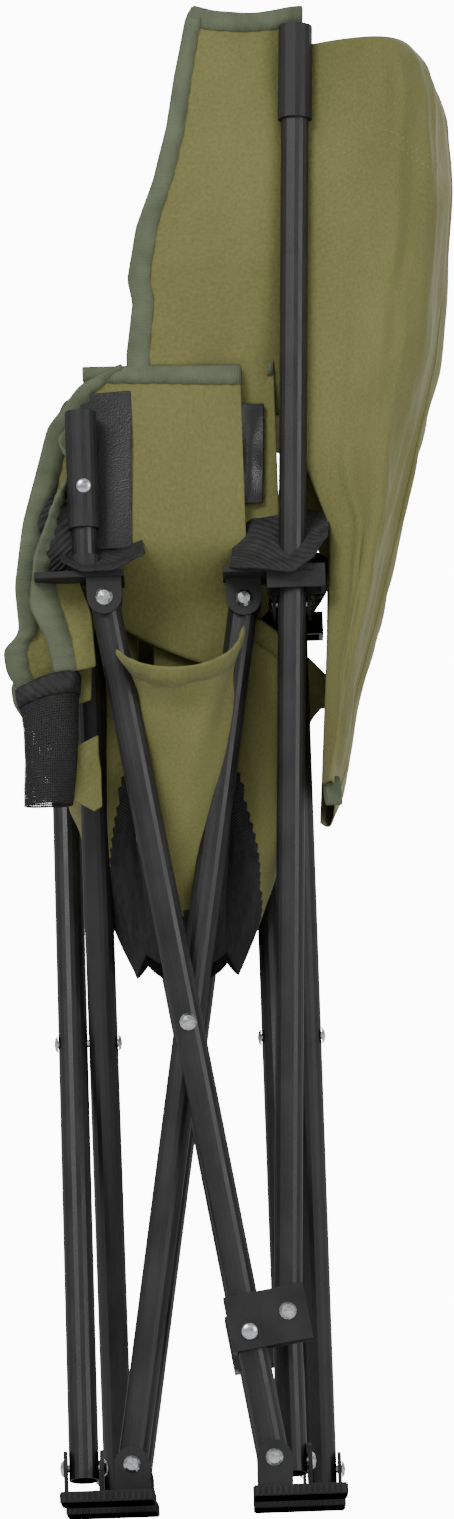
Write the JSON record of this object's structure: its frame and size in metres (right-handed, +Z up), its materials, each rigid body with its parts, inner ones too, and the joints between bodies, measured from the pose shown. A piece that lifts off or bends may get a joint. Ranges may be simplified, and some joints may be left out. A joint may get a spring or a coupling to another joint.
{
  "type": "folding camp chair",
  "caption": "Folding camp chair with a steel X frame, slotted rear hubs, back posts and cloth seat, back and arms, shown folded upright.",
  "frame": {"origin": "on the ground under the middle of the folded chair's box", "axes": "+Z up, -X the way the sitter faces, -Y the sitter's left"},
  "size_m": [0.305, 0.1816, 0.956],
  "materials": {
    "steel": "black powder coat, satin",
    "plastic": "moulded black plastic",
    "zinc": "bright zinc plated",
    "cloth": "olive green oxford weave",
    "mesh": "black knitted mesh",
    "binding": "grey green binding tape",
    "vinyl": "black coated cloth with stitching"
  },
  "bodies": {
    "front_left_foot": {"front_left_foot": "plastic", "front_left_foot_side_rivet": "zinc", "front_left_foot_end_rivet": "zinc"},
    "front_left_hub": {"front_left_hub": "plastic", "front_left_hub_side_rivet": "zinc", "front_left_hub_end_rivet": "zinc", "left_arm_post": "steel", "left_arm_post_cap": "plastic", "drink_pocket": "mesh"},
    "front_right_foot": {"front_right_foot": "plastic", "front_right_foot_side_rivet": "zinc", "front_right_foot_end_rivet": "zinc"},
    "front_right_hub": {"front_right_hub": "plastic", "front_right_hub_side_rivet": "zinc", "front_right_hub_end_rivet": "zinc", "right_arm_post": "steel", "right_arm_post_cap": "plastic"},
    "rear_left_foot": {"rear_left_foot": "plastic", "rear_left_foot_side_rivet": "zinc", "rear_left_foot_end_rivet": "zinc"},
    "rear_left_hub": {"rear_left_hub": "plastic", "rear_left_hub_side_rivet": "zinc", "rear_left_hub_end_rivet": "zinc"},
    "rear_right_foot": {"rear_right_foot": "plastic", "rear_right_foot_side_rivet": "zinc", "rear_right_foot_end_rivet": "zinc"},
    "rear_right_hub": {"rear_right_hub": "plastic", "rear_right_hub_side_rivet": "zinc", "rear_right_hub_end_rivet": "zinc"},
    "left_tube_front_foot": {"left_tube_front_foot": "steel", "left_cross_rivet": "zinc"},
    "left_tube_rear_foot": {"left_tube_rear_foot": "steel", "left_post_bracket": "plastic", "left_post_rivet": "zinc"},
    "right_tube_front_foot": {"right_tube_front_foot": "steel", "right_cross_rivet": "zinc"},
    "right_tube_rear_foot": {"right_tube_rear_foot": "steel", "right_post_bracket": "plastic", "right_post_rivet": "zinc"},
    "front_tube_left_foot": {"front_tube_left_foot": "steel", "front_cross_rivet": "zinc"},
    "front_tube_right_foot": {"front_tube_right_foot": "steel"},
    "rear_tube_left_foot": {"rear_tube_left_foot": "steel", "rear_cross_rivet": "zinc"},
    "rear_tube_right_foot": {"rear_tube_right_foot": "steel"},
    "left_back_post": {"left_back_post": "steel", "left_back_post_cap": "plastic"},
    "right_back_post": {"right_back_post": "steel", "right_back_post_cap": "plastic"},
    "left_back_cloth": {"left_back_cloth": "cloth"},
    "right_back_cloth": {"right_back_cloth": "cloth"},
    "left_arm_cloth_front": {"left_arm_cloth_front": "cloth"},
    "left_arm_cloth_rear": {"left_arm_cloth_rear": "cloth"},
    "right_arm_cloth_front": {"right_arm_cloth_front": "cloth"},
    "right_arm_cloth_rear": {"right_arm_cloth_rear": "cloth"},
    "front_left_seat_strap": {"front_left_seat_strap": "cloth"},
    "front_right_seat_strap": {"front_right_seat_strap": "cloth"},
    "rear_left_seat_strap": {"rear_left_seat_strap": "cloth"},
    "rear_right_seat_strap": {"rear_right_seat_strap": "cloth"},
    "right_seat_seam": {"right_seat_seam": "cloth"}
  },
  "joints": [
    {"name": "fold", "type": "hinge", "parent": "front_left_foot", "child": "left_tube_front_foot", "pos_m": [-0.08502, -0.04477, 0.024], "axis": [0, 1, 0], "range_deg": [0, 32]},
    {"name": "left_cross", "type": "hinge", "parent": "left_tube_front_foot", "child": "left_tube_rear_foot", "pos_m": [-0.04025, -0.06577, 0.3004], "axis": [0, -1, 0], "range_deg": [0, 64.03]},
    {"name": "rear_left_foot_pivot", "type": "hinge", "parent": "left_tube_rear_foot", "child": "rear_left_foot", "pos_m": [0.00452, -0.04477, 0.024], "axis": [0, 1, 0], "range_deg": [0, 32.02]},
    {"name": "front_left_hub_pivot", "type": "hinge", "parent": "left_tube_rear_foot", "child": "front_left_hub", "pos_m": [-0.08502, -0.04477, 0.5768], "axis": [0, 1, 0], "range_deg": [0, 32.02]},
    {"name": "rear_left_hub_pivot", "type": "hinge", "parent": "left_tube_front_foot", "child": "rear_left_hub", "pos_m": [0.00452, -0.04477, 0.5768], "axis": [0, -1, 0], "range_deg": [0, 32.02]},
    {"name": "front_tube_pivot", "type": "hinge", "parent": "front_left_foot", "child": "front_tube_left_foot", "pos_m": [-0.08502, -0.04477, 0.024], "axis": [-1, 0, 0], "range_deg": [0, 32.02]},
    {"name": "front_cross", "type": "hinge", "parent": "front_tube_left_foot", "child": "front_tube_right_foot", "pos_m": [-0.10602, 0, 0.3004], "axis": [1, 0, 0], "range_deg": [0, 64.03]},
    {"name": "front_right_foot_pivot", "type": "hinge", "parent": "front_tube_right_foot", "child": "front_right_foot", "pos_m": [-0.08502, 0.04477, 0.024], "axis": [-1, 0, 0], "range_deg": [0, 32.02]},
    {"name": "front_right_hub_pivot", "type": "hinge", "parent": "front_tube_left_foot", "child": "front_right_hub", "pos_m": [-0.08502, 0.04477, 0.5768], "axis": [1, 0, 0], "range_deg": [0, 32.02]},
    {"name": "rear_tube_pivot", "type": "hinge", "parent": "rear_left_foot", "child": "rear_tube_left_foot", "pos_m": [0.00452, -0.04477, 0.024], "axis": [-1, 0, 0], "range_deg": [0, 32.02]},
    {"name": "rear_cross", "type": "hinge", "parent": "rear_tube_left_foot", "child": "rear_tube_right_foot", "pos_m": [0.02552, 0, 0.3004], "axis": [1, 0, 0], "range_deg": [0, 64.03]},
    {"name": "rear_right_foot_pivot", "type": "hinge", "parent": "rear_tube_right_foot", "child": "rear_right_foot", "pos_m": [0.00452, 0.04477, 0.024], "axis": [-1, 0, 0], "range_deg": [0, 32.02]},
    {"name": "rear_right_hub_pivot", "type": "hinge", "parent": "rear_tube_left_foot", "child": "rear_right_hub", "pos_m": [0.00452, 0.04477, 0.5768], "axis": [1, 0, 0], "range_deg": [0, 32.02]},
    {"name": "right_tube_pivot", "type": "hinge", "parent": "front_right_foot", "child": "right_tube_front_foot", "pos_m": [-0.08502, 0.04477, 0.024], "axis": [0, 1, 0], "range_deg": [0, 32.02]},
    {"name": "right_cross", "type": "hinge", "parent": "right_tube_front_foot", "child": "right_tube_rear_foot", "pos_m": [-0.04025, 0.06577, 0.3004], "axis": [0, -1, 0], "range_deg": [0, 64.03]},
    {"name": "left_back_post_pivot", "type": "hinge", "parent": "left_tube_rear_foot", "child": "left_back_post", "pos_m": [0.01611, -0.07557, 0.11503], "axis": [0, 1, 0], "range_deg": [0, 41.22]},
    {"name": "right_back_post_pivot", "type": "hinge", "parent": "right_tube_rear_foot", "child": "right_back_post", "pos_m": [0.01611, 0.07557, 0.11503], "axis": [0, 1, 0], "range_deg": [0, 41.22]},
    {"name": "left_back_spread", "type": "slide", "parent": "left_back_post", "child": "left_back_cloth", "axis": [-0.5287, 0.8488, 0], "range_m": [0, 0.16463]},
    {"name": "right_back_spread", "type": "slide", "parent": "right_back_post", "child": "right_back_cloth", "axis": [-0.5287, -0.8488, 0], "range_m": [0, 0.16463]},
    {"name": "left_arm_spread_front", "type": "slide", "parent": "front_left_hub", "child": "left_arm_cloth_front", "axis": [0.9993, -0.0378, 0], "range_m": [0, 0.1588]},
    {"name": "left_arm_spread_rear", "type": "slide", "parent": "left_back_post", "child": "left_arm_cloth_rear", "axis": [-0.6853, -0.0295, -0.7277], "range_m": [0, 0.2033]},
    {"name": "right_arm_spread_front", "type": "slide", "parent": "front_right_hub", "child": "right_arm_cloth_front", "axis": [0.9993, 0.0378, 0], "range_m": [0, 0.1588]},
    {"name": "right_arm_spread_rear", "type": "slide", "parent": "right_back_post", "child": "right_arm_cloth_rear", "axis": [-0.6853, 0.0295, -0.7277], "range_m": [0, 0.2033]},
    {"name": "front_left_strap_swing", "type": "hinge", "parent": "front_left_hub", "child": "front_left_seat_strap", "pos_m": [-0.06602, -0.02577, 0.5898], "axis": [0.7071, -0.7071, 0], "range_deg": [0, 82.04]},
    {"name": "left_seat_spread", "type": "hinge", "parent": "front_left_seat_strap", "child": "rear_left_seat_strap", "pos_m": [-0.04025, 0.16001, 0.26031], "axis": [0, 0.8519, -0.5237], "range_deg": [0, 110.61]},
    {"name": "front_seat_spread", "type": "hinge", "parent": "front_left_seat_strap", "child": "front_right_seat_strap", "pos_m": [0.14897, 0, 0.24235], "axis": [-0.8519, 0, 0.5237], "range_deg": [0, 110.61]},
    {"name": "rear_seat_spread", "type": "hinge", "parent": "rear_left_seat_strap", "child": "rear_right_seat_strap", "pos_m": [-0.17104, 0, 0.27826], "axis": [-0.8519, 0, -0.5237], "range_deg": [0, 110.61]},
    {"name": "right_seat_spread", "type": "hinge", "parent": "front_right_seat_strap", "child": "right_seat_seam", "pos_m": [-0.04025, -0.16001, 0.26031], "axis": [0, 0.8519, 0.5237], "range_deg": [0, 110.61]}
  ],
  "couplings": [
    {"joint": "left_cross", "follows": "fold", "ratio": 2},
    {"joint": "rear_left_foot_pivot", "follows": "fold", "ratio": 1},
    {"joint": "front_left_hub_pivot", "follows": "fold", "ratio": 1},
    {"joint": "rear_left_hub_pivot", "follows": "fold", "ratio": 1},
    {"joint": "front_tube_pivot", "follows": "fold", "ratio": 1},
    {"joint": "front_cross", "follows": "fold", "ratio": 2},
    {"joint": "front_right_foot_pivot", "follows": "fold", "ratio": 1},
    {"joint": "front_right_hub_pivot", "follows": "fold", "ratio": 1},
    {"joint": "rear_tube_pivot", "follows": "fold", "ratio": 1},
    {"joint": "rear_cross", "follows": "fold", "ratio": 2},
    {"joint": "rear_right_foot_pivot", "follows": "fold", "ratio": 1},
    {"joint": "rear_right_hub_pivot", "follows": "fold", "ratio": 1},
    {"joint": "right_tube_pivot", "follows": "fold", "ratio": 1},
    {"joint": "right_cross", "follows": "fold", "ratio": 2},
    {"joint": "left_back_post_pivot", "follows": "fold", "ratio": 1.2874},
    {"joint": "right_back_post_pivot", "follows": "fold", "ratio": 1.2874},
    {"joint": "left_back_spread", "follows": "fold", "m_per_rad": 0.29462},
    {"joint": "right_back_spread", "follows": "fold", "m_per_rad": 0.29462},
    {"joint": "left_arm_spread_front", "follows": "fold", "m_per_rad": 0.28419},
    {"joint": "left_arm_spread_rear", "follows": "fold", "m_per_rad": 0.36382},
    {"joint": "right_arm_spread_front", "follows": "fold", "m_per_rad": 0.28419},
    {"joint": "right_arm_spread_rear", "follows": "fold", "m_per_rad": 0.36382},
    {"joint": "front_left_strap_swing", "follows": "fold", "ratio": 2.5625},
    {"joint": "left_seat_spread", "follows": "fold", "ratio": 3.4549},
    {"joint": "front_seat_spread", "follows": "fold", "ratio": 3.4549},
    {"joint": "rear_seat_spread", "follows": "fold", "ratio": 3.4549},
    {"joint": "right_seat_spread", "follows": "fold", "ratio": 3.4549}
  ]
}
